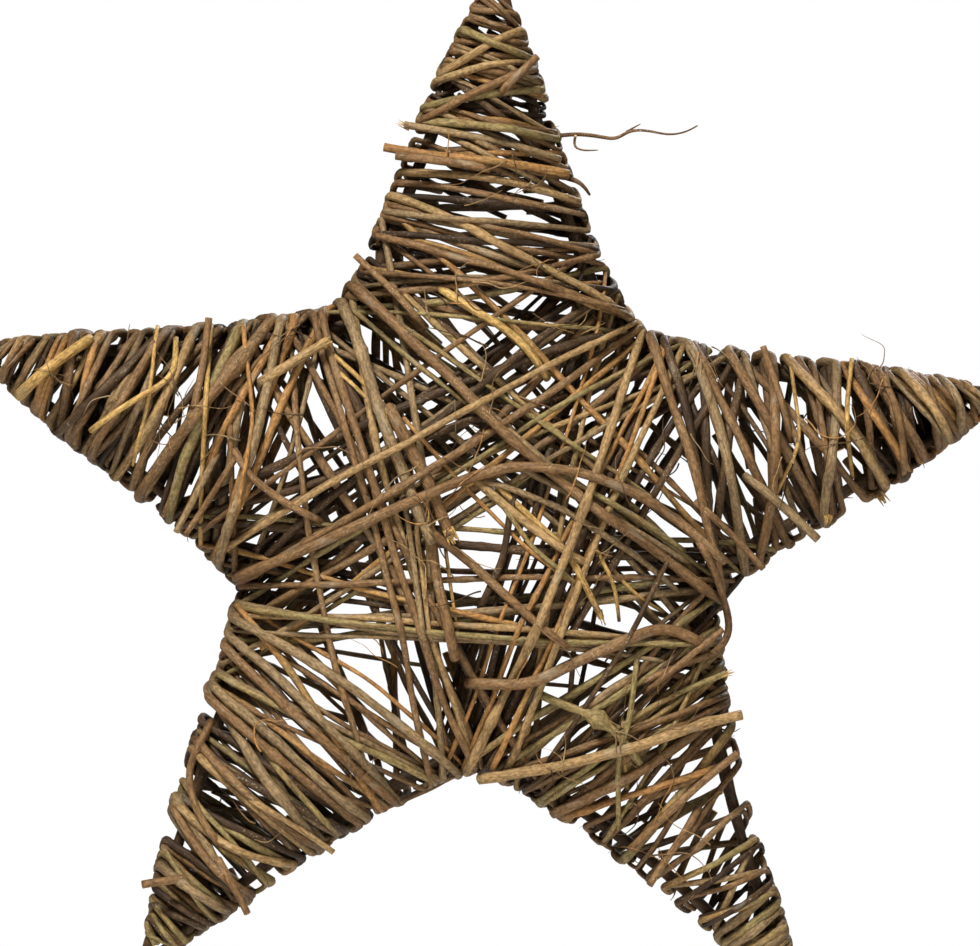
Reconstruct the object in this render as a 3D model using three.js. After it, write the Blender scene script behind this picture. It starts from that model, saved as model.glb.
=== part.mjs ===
// A hanging star wound from natural vines. Ten straight canes mark the edges of five arms. Vines are
// wound round each arm in two courses, an inner one and an outer one of the opposite hand, and more
// vines run across the hollow body from valley to valley, in front and behind.
// Units are millimetres, +Z is up, the front faces -Y and the origin is the tip that the star hangs by.

import * as THREE from 'three';

// Outline of the star in its middle plane: distance from the centre and direction from +X, in degrees.
// The star is wound by hand, so no two arms are quite alike.
const tips = {
  top: { radius: 266, direction: 88.8 },
  left: { radius: 263, direction: 161.2 },
  lowerLeft: { radius: 269, direction: 232.4 },
  lowerRight: { radius: 273, direction: 303.5 },
  right: { radius: 258, direction: 13.8 },
};
const valleys = {
  upperLeft: { radius: 136, direction: 122.7 },
  left: { radius: 131, direction: 194.9 },
  bottom: { radius: 130, direction: 268.0 },
  right: { radius: 128, direction: 344.8 },
  upperRight: { radius: 128, direction: 50.3 },
};

// Each arm lies between two valleys: the one on its left and the one on its right, seen from its root.
const arms = [
  { name: 'top', leftValley: 'upperLeft', rightValley: 'upperRight' },
  { name: 'left', leftValley: 'left', rightValley: 'upperLeft' },
  { name: 'lowerLeft', leftValley: 'bottom', rightValley: 'left' },
  { name: 'lowerRight', leftValley: 'right', rightValley: 'bottom' },
  { name: 'right', leftValley: 'upperRight', rightValley: 'right' },
];

// Canes and vines.
const caneDiameter = 6;
const caneSides = 6;
const caneSteps = 3;
const caneTipSpacing = 6.6; // between the axes of the two canes that meet at a tip
const valleyPile = 19; // the canes meet this far inside the valleys, which are filled by wound vines
const vineSides = 5;
const clearance = 0.4; // between pieces that touch

// Windings round the arms.
const innerVine = 5;
const outerVine = 6;
const armDepthShare = 0.8; // half depth of an arm as a share of its half width
const armStart = 39.5; // distance from the canes' meeting point to the first turn
const armEnd = 9; // distance from the canes' tips to the last turn
const innerPitch = 15.5;
const outerPitch = 17;
const vinesPerCourse = 2;
const vineJoint = 0.25; // share of a turn left between the end of one vine and the start of the next
const taperAllowance = 0.93; // a tapering arm brings its two courses closer together than its section does

// Flattened coils across the body.
const bodyVine = 5.5;
const bodyLayers = [44, 50.4, 56.8]; // half depth of the layers, from the inmost
const bodyCrownShare = 0.68; // half length of a strand's level stretch as a share of its half length
const bodyStart = 8.4; // distance from the canes' meeting point to the first loop
const bodyPitch = 6.1;
const bodyFan = 7.5; // how far apart neighbouring loops spread where they cross the middle of the body
const bodyFanCentre = 1.25; // the loop, counted from the first, that isn't moved sideways by the spread
const loopsPerCoil = 2;
const coilsPerBundle = 2;

// Sections that the vines bend round, as eight corners: a narrow flat at each edge and a level crown.
const cornersPerTurn = 8;
const edgeFlat = 2.2; // half height of the flat at an edge, before the share of the depth is added
const edgeFlatShare = 0.16;
const crownShare = 0.55; // half width of an arm's crown as a share of its half width

const bark = {
  cane: { color: 0x4a3626, roughness: 0.85, metalness: 0 },
  inner: { color: 0x5c4a36, roughness: 0.9, metalness: 0 },
  outer: { color: 0x7d6548, roughness: 0.85, metalness: 0 },
  body: { color: 0x86704f, roughness: 0.85, metalness: 0 },
};

const degrees = Math.PI / 180;

function polar({ radius, direction }, inset = 0) {
  const reach = radius - inset;
  return new THREE.Vector2(reach * Math.cos(direction * degrees), reach * Math.sin(direction * degrees));
}

function mix(from, to, share) {
  return from.clone().lerp(to, share);
}

// A path given by its corners, which takes one step for each stretch between two corners.
class CornerPath extends THREE.Curve {
  constructor(corners) {
    super();
    this.corners = corners;
  }

  getUtoTmapping(share) {
    return share;
  }

  getPoint(share) {
    const place = share * (this.corners.length - 1);
    const before = Math.min(Math.floor(place), this.corners.length - 2);
    return mix(this.corners[before], this.corners[before + 1], place - before);
  }

  getTangent(share) {
    const corner = Math.round(share * (this.corners.length - 1));
    const tangent = new THREE.Vector3();
    for (const before of [corner - 1, corner]) {
      if (before >= 0 && before < this.corners.length - 1) {
        tangent.add(this.corners[before + 1].clone().sub(this.corners[before]).normalize());
      }
    }
    return tangent.normalize();
  }
}

function roundRod(corners, diameter, sides) {
  const section = new THREE.Shape();
  for (let side = 0; side < sides; side += 1) {
    const angle = (2 * Math.PI * side) / sides;
    const x = (diameter / 2) * Math.cos(angle);
    const y = (diameter / 2) * Math.sin(angle);
    if (side === 0) {
      section.moveTo(x, y);
    } else {
      section.lineTo(x, y);
    }
  }
  section.closePath();
  const path = new CornerPath(corners);
  return new THREE.ExtrudeGeometry(section, { extrudePath: path, steps: corners.length - 1 });
}

function addRod(group, name, corners, diameter, sides, finish) {
  const rod = new THREE.Mesh(roundRod(corners, diameter, sides), new THREE.MeshStandardMaterial(finish));
  rod.name = name;
  group.add(rod);
}

// Eight corners round a section of the given half width and half depth, each moved out by an offset
// that keeps the sides parallel.
function sectionCorners(halfWidth, halfDepth, crown, offset) {
  const flat = edgeFlat + edgeFlatShare * halfDepth;
  const quarter = [
    new THREE.Vector2(halfWidth, flat),
    new THREE.Vector2(halfWidth * crown, halfDepth),
  ];
  const slope = quarter[1].clone().sub(quarter[0]).normalize();
  const slopeOut = new THREE.Vector2(slope.y, -slope.x);
  const neighbours = [new THREE.Vector2(1, 0), new THREE.Vector2(0, 1)];
  const moved = quarter.map((corner, index) => {
    const sum = neighbours[index].clone().add(slopeOut);
    const mitre = offset / (1 + neighbours[index].dot(slopeOut));
    return corner.clone().addScaledVector(sum, mitre);
  });
  const [edge, top] = moved;
  return [
    new THREE.Vector2(edge.x, edge.y),
    new THREE.Vector2(top.x, top.y),
    new THREE.Vector2(-top.x, top.y),
    new THREE.Vector2(-edge.x, edge.y),
    new THREE.Vector2(-edge.x, -edge.y),
    new THREE.Vector2(-top.x, -top.y),
    new THREE.Vector2(top.x, -top.y),
    new THREE.Vector2(edge.x, -edge.y),
  ];
}

function cornerAt(step) {
  return ((step % cornersPerTurn) + cornersPerTurn) % cornersPerTurn;
}

// Axes of the two canes of an arm, from the valleys to the tip.
function armCanes(arm) {
  const tip = polar(tips[arm.name]);
  const leftFoot = polar(valleys[arm.leftValley], valleyPile);
  const rightFoot = polar(valleys[arm.rightValley], valleyPile);
  const across = rightFoot.clone().sub(leftFoot).normalize();
  return {
    left: { foot: leftFoot, tip: tip.clone().addScaledVector(across, -caneTipSpacing / 2) },
    right: { foot: rightFoot, tip: tip.clone().addScaledVector(across, caneTipSpacing / 2) },
  };
}

function addCane(group, name, cane) {
  // A cane starts a little way up from the valley, where it would meet its neighbour.
  const length = cane.foot.distanceTo(cane.tip);
  const startShare = caneDiameter / length;
  const corners = [];
  for (let step = 0; step <= caneSteps; step += 1) {
    const at = mix(cane.foot, cane.tip, startShare + ((1 - startShare) * step) / caneSteps);
    corners.push(new THREE.Vector3(at.x, 0, at.y));
  }
  addRod(group, name, corners, caneDiameter, caneSides, bark.cane);
}

// The corners of one vine that winds round an arm. A turn is one way round the arm, and the hand is +1
// for a course that crosses the front to the right as it climbs towards the tip.
function armWinding(canes, diameter, offset, firstTurn, lastTurn, turnShare, hand) {
  const corners = [];
  const steps = Math.round((lastTurn - firstTurn) * cornersPerTurn);
  const firstStep = Math.round(firstTurn * cornersPerTurn);
  for (let step = 0; step <= steps; step += 1) {
    const share = turnShare((firstStep + step) / cornersPerTurn);
    const left = mix(canes.left.foot, canes.left.tip, share);
    const right = mix(canes.right.foot, canes.right.tip, share);
    const across = right.clone().sub(left).multiplyScalar(0.5);
    const middle = mix(left, right, 0.5);
    const halfWidth = across.length() + (caneDiameter + innerVine) / 2 + clearance;
    const section = sectionCorners(halfWidth, armDepthShare * halfWidth, crownShare, offset);
    const corner = section[cornerAt(hand * (firstStep + step) + cornersPerTurn / 2)];
    const place = middle.addScaledVector(across.normalize(), corner.x);
    corners.push(new THREE.Vector3(place.x, -corner.y, place.y));
  }
  return corners;
}

function addArm(group, arm) {
  const canes = armCanes(arm);
  addCane(group, `${arm.name}_arm_left_cane`, canes.left);
  addCane(group, `${arm.name}_arm_right_cane`, canes.right);
  const leftLength = canes.left.foot.distanceTo(canes.left.tip);
  const rightLength = canes.right.foot.distanceTo(canes.right.tip);
  const length = (leftLength + rightLength) / 2;
  const outerOffset = ((innerVine + outerVine) / 2 + clearance) / taperAllowance;
  const courses = [
    { name: 'inner', diameter: innerVine, offset: 0, pitch: innerPitch, hand: 1 },
    { name: 'outer', diameter: outerVine, offset: outerOffset, pitch: outerPitch, hand: -1 },
  ];
  for (const { name, diameter, offset, pitch, hand } of courses) {
    const turns = (length - armStart - armEnd) / pitch;
    const turnShare = (turn) => (armStart + turn * pitch) / length;
    for (let vine = 0; vine < vinesPerCourse; vine += 1) {
      const first = (vine * turns) / vinesPerCourse;
      const last = ((vine + 1) * turns) / vinesPerCourse - vineJoint;
      const corners = armWinding(canes, diameter, offset, first, last, turnShare, hand);
      addRod(group, `${arm.name}_arm_${name}_vine_${vine + 1}`, corners, diameter, vineSides, bark[name]);
    }
  }
}

// Where a strand that crosses the body bends round a cane: a point beside the cane, on its outer side.
function wrapPoint(cane, alongCane, outward) {
  const direction = cane.tip.clone().sub(cane.foot).normalize();
  const side = new THREE.Vector2(-direction.y, direction.x);
  if (side.dot(outward) < 0) {
    side.negate();
  }
  const reach = (caneDiameter + bodyVine) / 2 + clearance;
  return cane.foot.clone().addScaledVector(direction, alongCane).addScaledVector(side, reach);
}

// The five bundles that join every valley with the two opposite it. The layers keep apart the bundles
// that cross. Each end lies on one cane of the arm named.
const bundles = [
  {
    name: 'upper_left_to_right',
    from: { valley: 'upperLeft', arm: 'top', side: 'left' },
    to: { valley: 'right', arm: 'right', side: 'right' },
    layer: 1,
  },
  {
    name: 'upper_right_to_bottom',
    from: { valley: 'upperRight', arm: 'right', side: 'left' },
    to: { valley: 'bottom', arm: 'lowerRight', side: 'right' },
    layer: 2,
  },
  {
    name: 'right_to_left',
    from: { valley: 'right', arm: 'lowerRight', side: 'left' },
    to: { valley: 'left', arm: 'lowerLeft', side: 'right' },
    layer: 0,
  },
  {
    name: 'bottom_to_upper_left',
    from: { valley: 'bottom', arm: 'lowerLeft', side: 'left' },
    to: { valley: 'upperLeft', arm: 'left', side: 'right' },
    layer: 1,
  },
  {
    name: 'left_to_upper_right',
    from: { valley: 'left', arm: 'left', side: 'left' },
    to: { valley: 'upperRight', arm: 'top', side: 'right' },
    layer: 0,
  },
];

function bundleEnd(end) {
  const arm = arms.find((candidate) => candidate.name === end.arm);
  return { cane: armCanes(arm)[end.side], outward: polar(valleys[end.valley]) };
}

function addBundle(group, bundle) {
  const from = bundleEnd(bundle.from);
  const to = bundleEnd(bundle.to);
  for (let coil = 0; coil < coilsPerBundle; coil += 1) {
    const corners = [];
    const firstStep = coil * loopsPerCoil * cornersPerTurn;
    const steps = loopsPerCoil * cornersPerTurn - 2;
    for (let step = 0; step <= steps; step += 1) {
      const alongCane = bodyStart + (bodyPitch * (firstStep + step)) / cornersPerTurn;
      const start = wrapPoint(from.cane, alongCane, from.outward);
      const end = wrapPoint(to.cane, alongCane, to.outward);
      const halfSpan = start.distanceTo(end) / 2;
      const section = sectionCorners(halfSpan, bodyLayers[bundle.layer], bodyCrownShare, 0);
      const corner = section[cornerAt(step + cornersPerTurn / 2 + 1)];
      const place = mix(start, end, (1 + corner.x / halfSpan) / 2);
      if (Math.abs(corner.x) < halfSpan) {
        const loop = (firstStep + step) / cornersPerTurn;
        const spread = bodyFan * (loop - bodyFanCentre);
        place.addScaledVector(mix(start, end, 0.5).normalize(), spread);
      }
      corners.push(new THREE.Vector3(place.x, corner.y, place.y));
    }
    addRod(group, `body_vine_${bundle.name}_${coil + 1}`, corners, bodyVine, vineSides, bark.body);
  }
}

const star = new THREE.Group();
for (const arm of arms) {
  addArm(star, arm);
}
for (const bundle of bundles) {
  addBundle(star, bundle);
}

const hangingTip = polar(tips.top);
star.position.set(-hangingTip.x, 0, -hangingTip.y);

const group = new THREE.Group();
group.add(star);

export default group;
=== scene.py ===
# %% [markdown]
# # A hanging star wound from vines
#
# The object is a hollow star, half a metre across, that someone wound by hand from fresh vines round
# a frame of straight canes. This notebook dresses the plain solids of the frame with vines that lie
# over each other, taper, kink and end in cut wood, as real ones do.
#
# The frame comes first.

# %% Load the frame
import math
import random

import bmesh
import bpy
import numpy as np
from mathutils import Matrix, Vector


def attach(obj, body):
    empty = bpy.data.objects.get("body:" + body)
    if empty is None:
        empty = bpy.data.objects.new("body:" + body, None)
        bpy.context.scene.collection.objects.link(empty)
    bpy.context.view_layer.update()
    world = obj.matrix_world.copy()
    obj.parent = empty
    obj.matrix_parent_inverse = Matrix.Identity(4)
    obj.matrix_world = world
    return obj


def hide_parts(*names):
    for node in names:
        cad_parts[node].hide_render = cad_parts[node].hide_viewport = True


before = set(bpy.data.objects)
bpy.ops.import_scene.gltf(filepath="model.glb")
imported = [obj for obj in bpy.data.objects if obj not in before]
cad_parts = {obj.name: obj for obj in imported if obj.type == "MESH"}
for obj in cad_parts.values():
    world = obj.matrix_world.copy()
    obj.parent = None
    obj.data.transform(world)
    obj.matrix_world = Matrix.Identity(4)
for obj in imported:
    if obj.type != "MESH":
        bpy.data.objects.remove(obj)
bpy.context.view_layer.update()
print("solids in the frame:", len(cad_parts))

# %% [markdown]
# ## The outline
#
# The frame's origin is the tip that the star hangs by. Vines are easier to lay out from the middle of
# the star, so all the winding is worked out in millimetres from there: the first number runs to the
# right, the second upwards, and depth is added later. These are the ten measures that the solids were
# drawn from: a distance from the middle and a direction in degrees.

# %% Tips and valleys
MM = 0.001

tips = {
    "top": (266, 88.8),
    "left": (263, 161.2),
    "lower_left": (269, 232.4),
    "lower_right": (273, 303.5),
    "right": (258, 13.8),
}
valleys = {
    "upper_left": (136, 122.7),
    "left": (131, 194.9),
    "bottom": (130, 268.0),
    "right": (128, 344.8),
    "upper_right": (128, 50.3),
}
print("arms:", len(tips), "valleys:", len(valleys))

# %% [markdown]
# Going round the star clockwise, arms and valleys take turns, and two lists in that order say which
# are neighbours. Each arm has two canes, one from the valley before it and one from the valley after it.
# The windings pull the canes inwards between their ends. In the valleys, where the strands of the body
# pile up, the vines stand out further from the canes than they do along the arms.

# %% Canes and what bends them
valley_ring = ["upper_left", "upper_right", "right", "bottom", "left"]
arm_ring = ["left", "top", "right", "lower_right", "lower_left"]
arm_before = dict(zip(valley_ring, arm_ring))
arm_after = dict(zip(valley_ring, arm_ring[1:] + arm_ring[:1]))
arm_valleys = {arm: (valley_ring[number - 1], valley_ring[number]) for number, arm in enumerate(arm_ring)}

valley_pile = 19
cane_radius = 3.0
cane_tip_spacing = 6.6
cane_inset = 1.5
stack_spare = 20

# How far the windings have pulled the middle of each cane inwards, by the cane's valley and arm.
waists = {
    ("upper_left", "left"): 6.5,
    ("upper_left", "top"): 0.5,
    ("upper_right", "top"): 5.5,
    ("upper_right", "right"): 2.5,
    ("right", "right"): -0.5,
    ("right", "lower_right"): 8.5,
    ("bottom", "lower_right"): 8.0,
    ("bottom", "lower_left"): 8.5,
    ("left", "lower_left"): -1.5,
    ("left", "left"): 3.0,
}

# How far the crossing strands of the body stand out in each valley, and how far along a cane they do.
valley_swell = {"upper_left": 4.0, "left": 7.0, "bottom": 4.0, "right": 7.5, "upper_right": 8.0}
swell_reach = 15.0


def polar(distance, direction):
    angle = math.radians(direction)
    return np.array([distance * math.cos(angle), distance * math.sin(angle)])


def unit(vector):
    return vector / np.linalg.norm(vector)


# %% One cane
class Cane:
    """A straight edge cane, from its foot in a valley to a tip, with what is stacked along it."""

    def __init__(self, valley, arm):
        before, after = arm_valleys[arm]
        across = unit(self.foot_of(after) - self.foot_of(before))
        aside = -cane_tip_spacing / 2 if valley == before else cane_tip_spacing / 2
        tip = polar(*tips[arm])
        self.foot = self.foot_of(valley)
        self.tip = tip - unit(tip) * cane_inset + across * aside
        self.length = float(np.linalg.norm(self.tip - self.foot))
        self.direction = unit(self.tip - self.foot)
        self.outward = np.array([-self.direction[1], self.direction[0]])
        if self.outward @ self.foot < 0:
            self.outward = -self.outward
        self.stack = np.zeros(int(self.length) + stack_spare)
        self.waist = waists[valley, arm]
        self.swell = valley_swell[valley]

    def point(self, along, out=0.0):
        """A point beside the cane, which the pull of the windings has bent inwards a little."""
        bent = self.waist * math.sin(math.pi * min(max(along / self.length, 0), 1))
        return self.foot + self.direction * along + self.outward * (out - bent)

    @staticmethod
    def foot_of(valley):
        distance, direction = valleys[valley]
        return polar(distance - valley_pile - cane_inset, direction)


canes = {}
for valley in valleys:
    for arm in (arm_before[valley], arm_after[valley]):
        canes[valley, arm] = Cane(valley, arm)
star_middle = -polar(*tips["top"])
print("canes:", len(canes), "of about", round(canes["left", "left"].length), "mm")

# %% [markdown]
# ## The camera and the light
#
# The photograph looks straight at the front of the star from far enough away that there is hardly any
# perspective, and it crops the tips. Its frame is 980 by 946 pixels, and the size of a pixel on the
# star follows from the star's width. A long lens three metres away gives the same picture.

# %% Camera
picture_width = 980
picture_height = 946
star_middle_px = (484, 522)
mm_per_px = 0.4926
camera_distance = 3.0
sensor_width = 36.0

scene = bpy.context.scene
camera_data = bpy.data.cameras.new("camera")
camera_data.sensor_fit = "HORIZONTAL"
camera_data.sensor_width = sensor_width
frame_width = picture_width * mm_per_px * MM
camera_data.lens = sensor_width * camera_distance / frame_width
camera = bpy.data.objects.new("camera", camera_data)
scene.collection.objects.link(camera)
camera_x = (star_middle[0] + (picture_width / 2 - star_middle_px[0]) * mm_per_px) * MM
camera_z = (star_middle[1] - (picture_height / 2 - star_middle_px[1]) * mm_per_px) * MM
camera.location = (camera_x, -camera_distance, camera_z)
camera.rotation_euler = (math.radians(90), 0, 0)
scene.camera = camera
print("lens in mm:", round(camera_data.lens, 1))


# %% [markdown]
# Soft light comes from the front and above, with a weaker lamp behind for the other side. The inside
# of the star stays dark because the light that reaches it has to come through the gaps.

# %% Lights
def area_light(name, place, size, power):
    light = bpy.data.lights.new(name, "AREA")
    light.shape = "DISK"
    light.size = size
    light.energy = power
    lamp = bpy.data.objects.new(name, light)
    scene.collection.objects.link(lamp)
    lamp.location = place
    aim = Vector((0, 0, star_middle[1] * MM)) - Vector(place)
    lamp.rotation_euler = aim.to_track_quat("-Z", "Y").to_euler()


area_light("key", place=(-0.9, -1.5, 1.9), size=0.7, power=110)
area_light("fill", place=(1.3, -2.1, 0.0), size=1.4, power=16)
area_light("back", place=(0.7, 1.9, 0.9), size=1.0, power=40)
scene.view_settings.view_transform = "Standard"
print("lamps:", len(bpy.data.lights))


# %% [markdown]
# ## Shader maths as plain expressions
#
# A procedural material is mostly arithmetic on patterns. A small class wraps a node's output, so that
# an ordinary expression adds the Math nodes for it.

# %% A socket that can be used in expressions
class Shade:
    """An output socket of a node, which can be added, multiplied and so on."""

    def __init__(self, network, socket):
        self.network = network
        self.socket = socket

    def _math(self, operation, first, second):
        return self.network.node("ShaderNodeMath", {"operation": operation}, {0: first, 1: second})

    def __add__(self, other):
        return self._math("ADD", self, other)

    __radd__ = __add__

    def __sub__(self, other):
        return self._math("SUBTRACT", self, other)

    def __rsub__(self, other):
        return self._math("SUBTRACT", other, self)

    def __mul__(self, other):
        return self._math("MULTIPLY", self, other)

    __rmul__ = __mul__


# %% [markdown]
# Every node comes from one method. It takes the node's type, its settings, which are made first, and
# the values or links of its sockets. The backdrop's nodes and the materials' nodes share it.

# %% Networks of nodes
class Network:
    """The nodes of a material or of the backdrop."""

    def __init__(self, tree):
        self.tree = tree

    def node(self, kind, settings=None, inputs=None, output=0):
        made = self.tree.nodes.new(kind)
        for name, value in (settings or {}).items():
            if name == "stops":
                self.set_stops(made.color_ramp, value)
            else:
                setattr(made, name, value)
        for name, value in (inputs or {}).items():
            if isinstance(value, Shade):
                self.tree.links.new(value.socket, made.inputs[name])
            else:
                made.inputs[name].default_value = value
        return Shade(self, made.outputs[output]) if made.outputs else None

    @staticmethod
    def set_stops(ramp, stops):
        while len(ramp.elements) < len(stops):
            ramp.elements.new(1.0)
        for element, (place, colour) in zip(ramp.elements, stops):
            element.position = place
            element.color = opaque(colour)


def opaque(colour):
    """A colour of three numbers with a fourth for full cover; a link stays as it is."""
    return colour if isinstance(colour, Shade) else (*colour, 1.0)


# %% [markdown]
# ## The backdrop
#
# The backdrop is plain white where the camera sees it, as in the photograph. To the star it gives much
# less light than that, and warmer light, so that its inside stays dark.

# %% Backdrop
white = (1.0, 1.0, 1.0)
room_light = (1.0, 0.86, 0.66)
room_strength = 0.11

world = bpy.data.worlds.new("backdrop")
scene.world = world
world.use_nodes = True
world.node_tree.nodes.clear()
backdrop = Network(world.node_tree)
seen = backdrop.node("ShaderNodeBackground", {}, {"Color": opaque(white), "Strength": 1.0})
given = backdrop.node("ShaderNodeBackground", {}, {"Color": opaque(room_light), "Strength": room_strength})
by_camera = backdrop.node("ShaderNodeLightPath", output="Is Camera Ray")
choice = backdrop.node("ShaderNodeMixShader", {}, {0: by_camera, 1: given, 2: seen})
backdrop.node("ShaderNodeOutputWorld", {}, {"Surface": choice})
print("backdrop nodes:", len(world.node_tree.nodes))


# %% [markdown]
# ## Finishes
#
# A finish is a material with a few patterns that are used again and again: noise, a soft window that
# picks a band of it, blends of two colours, and a bump. What is the same all over goes straight into
# the shader's own sockets.

# %% Materials under construction
dull_gloss = 0.25


class Finish(Network):
    """A material whose nodes feed one shader."""

    def __init__(self, name, roughness):
        self.material = bpy.data.materials.new(name)
        self.material.use_nodes = True
        super().__init__(self.material.node_tree)
        self.shader = self.tree.nodes["Principled BSDF"]
        self.shader.inputs["Roughness"].default_value = roughness
        self.shader.inputs["Specular IOR Level"].default_value = dull_gloss

    def feed(self, name, value):
        self.tree.links.new(value.socket, self.shader.inputs[name])

    def attribute(self, name, output="Fac"):
        return self.node("ShaderNodeAttribute", {"attribute_name": name}, output=output)

    def noise(self, vector, scale, detail=3, along=None):
        """Noise that is drawn out along the vine where the share of its coordinate there is small."""
        if along is not None:
            shares = (1, 1, along)
            vector = self.node("ShaderNodeVectorMath", {"operation": "MULTIPLY"}, {0: vector, 1: shares})
        inputs = {"Vector": vector, "Scale": scale, "Detail": detail}
        return self.node("ShaderNodeTexNoise", {}, inputs, "Fac")

    def window(self, value, low, high):
        inputs = {"Value": value, "From Min": low, "From Max": high}
        return self.node("ShaderNodeMapRange", {"interpolation_type": "SMOOTHSTEP"}, inputs, "Result")

    def ramp(self, value, stops):
        return self.node("ShaderNodeValToRGB", {"stops": stops}, {"Fac": value}, "Color")

    def blend(self, share, low, high):
        inputs = {"Factor": share, 6: opaque(low), 7: opaque(high)}
        return self.node("ShaderNodeMix", {"data_type": "RGBA"}, inputs, 2)

    def multiply(self, first, second):
        inputs = {"Factor": 1.0, 6: opaque(first), 7: opaque(second)}
        return self.node("ShaderNodeMix", {"data_type": "RGBA", "blend_type": "MULTIPLY"}, inputs, 2)

    def bump(self, height, distance):
        self.feed("Normal", self.node("ShaderNodeBump", {}, {"Height": height, "Distance": distance}))


# %% [markdown]
# ## Bark
#
# The vines were never peeled. Their bark is brown, tan, olive or nearly orange, each vine with a colour
# of its own, and along each vine it changes slowly from one mood to the next. Fine fibres run
# lengthwise, with darker cracks between them, small pale pores, and crusts of lichen. Every vine
# carries its own straight coordinates, round it and along it, so that the fibres follow it round each
# bend. The colour of a vine is one number, its tint, read from a ramp. A second number paints light and
# shade on the bark: lighter where it faces out of the star, painted shade where it faces inwards or lies
# under other vines.

# %% Colours of the bark
TINTS = {
    "umber": 0.05,
    "brown": 0.25,
    "grey": 0.42,
    "tan": 0.56,
    "olive": 0.7,
    "orange": 0.84,
    "straw": 0.97,
}
bark_colours = [
    (0.0, (0.036, 0.019, 0.008)),
    (0.25, (0.205, 0.112, 0.045)),
    (0.42, (0.25, 0.17, 0.083)),
    (0.56, (0.35, 0.218, 0.09)),
    (0.7, (0.235, 0.182, 0.07)),
    (0.84, (0.36, 0.178, 0.056)),
    (1.0, (0.5, 0.32, 0.1)),
]
crack_colour = (0.03, 0.018, 0.01)
lichen_colour = (0.34, 0.29, 0.2)
pore_colour = (0.5, 0.42, 0.28)

# What the colour is multiplied by at the darkest and at the palest places of each pattern.
mottle_range = ((0.64, 0.61, 0.58), (1.3, 1.3, 1.31))
streak_range = ((0.88, 0.87, 0.86), (1.12, 1.12, 1.11))
# painted light and shade: the bark's colour is multiplied by the first where it lies in shade and by the
# second where it is open to the light
painted_shading_range = ((0.3, 0.27, 0.23), (1.12, 1.12, 1.12))
bump_distance = 0.0004
print("tints:", ", ".join(TINTS))


# %% Bark material
def make_bark():
    bark = Finish("vine_bark", roughness=0.7)
    place = bark.attribute("bark_place", "Vector")
    mood = bark.noise(place, scale=45, detail=2, along=0.6)
    fibres = bark.noise(place, scale=2200, detail=4, along=0.09)
    mottle = bark.noise(place, scale=800, detail=4, along=0.55)
    cracks = bark.window(bark.noise(place, scale=1100, detail=3, along=0.12), 0.52, 0.72)
    pores = bark.window(bark.noise(place, scale=1000, detail=1), 0.63, 0.7) * bark.window(mood, 0.42, 0.6)
    lichen = bark.window(bark.noise(place, scale=90, detail=4, along=0.5), 0.6, 0.68)
    colour = bark.ramp(bark.attribute("tint") + (mood - 0.5) * 0.3, bark_colours)
    mottled = bark.multiply(colour, bark.blend(bark.window(mottle, 0.3, 0.7), *mottle_range))
    streaked = bark.multiply(mottled, bark.blend(bark.window(fibres, 0.3, 0.7), *streak_range))
    cracked = bark.blend(cracks * 0.3, streaked, crack_colour)
    crusted = bark.blend(lichen * 0.32, cracked, lichen_colour)
    spotted = bark.blend(pores * 0.5, crusted, pore_colour)
    # painted shade: the bark is darkened where it faces inwards or lies under other vines, and lightened
    # where it is open to the light
    painted_shaded = bark.multiply(spotted, bark.blend(bark.attribute("bleach"), *painted_shading_range))
    bark.feed("Base Color", painted_shaded)
    bark.feed("Roughness", 0.55 + cracks * 0.25 + fibres * 0.15)
    bark.bump(fibres * 0.25 + mottle * 0.4 + lichen * 0.2 - cracks * 0.6, bump_distance)
    return bark.material


bark_material = make_bark()
print("nodes in the bark:", len(bark_material.node_tree.nodes))

# %% [markdown]
# ## Cut wood
#
# A vine is closed by a flat cut at each end, where its pale wood shows. The wood is blotched and finely
# grained, and a cut has no direction of its own, so plain Object coordinates will do.

# %% Cut wood
wood_colours = [
    (0.3, (0.36, 0.22, 0.1)),
    (0.5, (0.6, 0.42, 0.22)),
    (0.72, (0.76, 0.6, 0.36)),
]


def make_cut_wood():
    wood = Finish("cut_wood", roughness=0.8)
    place = wood.node("ShaderNodeTexCoord", output="Object")
    grain = wood.noise(place, scale=2600, detail=3)
    blotch = wood.noise(place, scale=420, detail=2)
    wood.feed("Base Color", wood.ramp(blotch * 0.6 + grain * 0.4, wood_colours))
    wood.bump(grain, bump_distance)
    return wood.material


cut_material = make_cut_wood()

# %% [markdown]
# ## The floor
#
# The star hangs, and a pale floor lies well below it, out of the photograph's frame. It is part of the
# stage and not of the star.

# %% Floor
floor_drop = -0.65
floor_radius = 1.5
floor_sides = 96
floor_dark = (0.78, 0.77, 0.75)
floor_pale = (0.82, 0.81, 0.79)


def make_floor():
    paint = Finish("pale_floor", roughness=0.9)
    place = paint.node("ShaderNodeTexCoord", output="Object")
    paint.feed("Base Color", paint.blend(paint.noise(place, scale=14), floor_dark, floor_pale))
    return paint.material


floor_mesh = bpy.data.meshes.new("floor")
shape = bmesh.new()
bmesh.ops.create_circle(shape, cap_ends=True, segments=floor_sides, radius=floor_radius)
bmesh.ops.translate(shape, verts=shape.verts, vec=(0, 0, floor_drop))
shape.to_mesh(floor_mesh)
shape.free()
floor_mesh.materials.append(make_floor())
floor = bpy.data.objects.new("floor", floor_mesh)
scene.collection.objects.link(floor)

# %% [markdown]
# ## A pile that vines lie on
#
# Vines that cross must lie over each other, not through each other. So the front and the back of the
# star each have a height map: how far the pile has grown from the middle plane at every millimetre.
# Both start as a smooth puffy form, which stands for the springy first turns. A new vine rests on the
# highest points under it, bends only as sharply as a stiff vine can, and then adds itself to the map.

# %% The outline and the springy first turns
map_low = np.array([-285.0, -262.0])
map_high = np.array([285.0, 300.0])
map_shape = tuple((map_high - map_low).astype(int))
puff_depth = 39.0
puff_rise = 1.9
puff_power = 0.8
tiny = 1e-9


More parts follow.
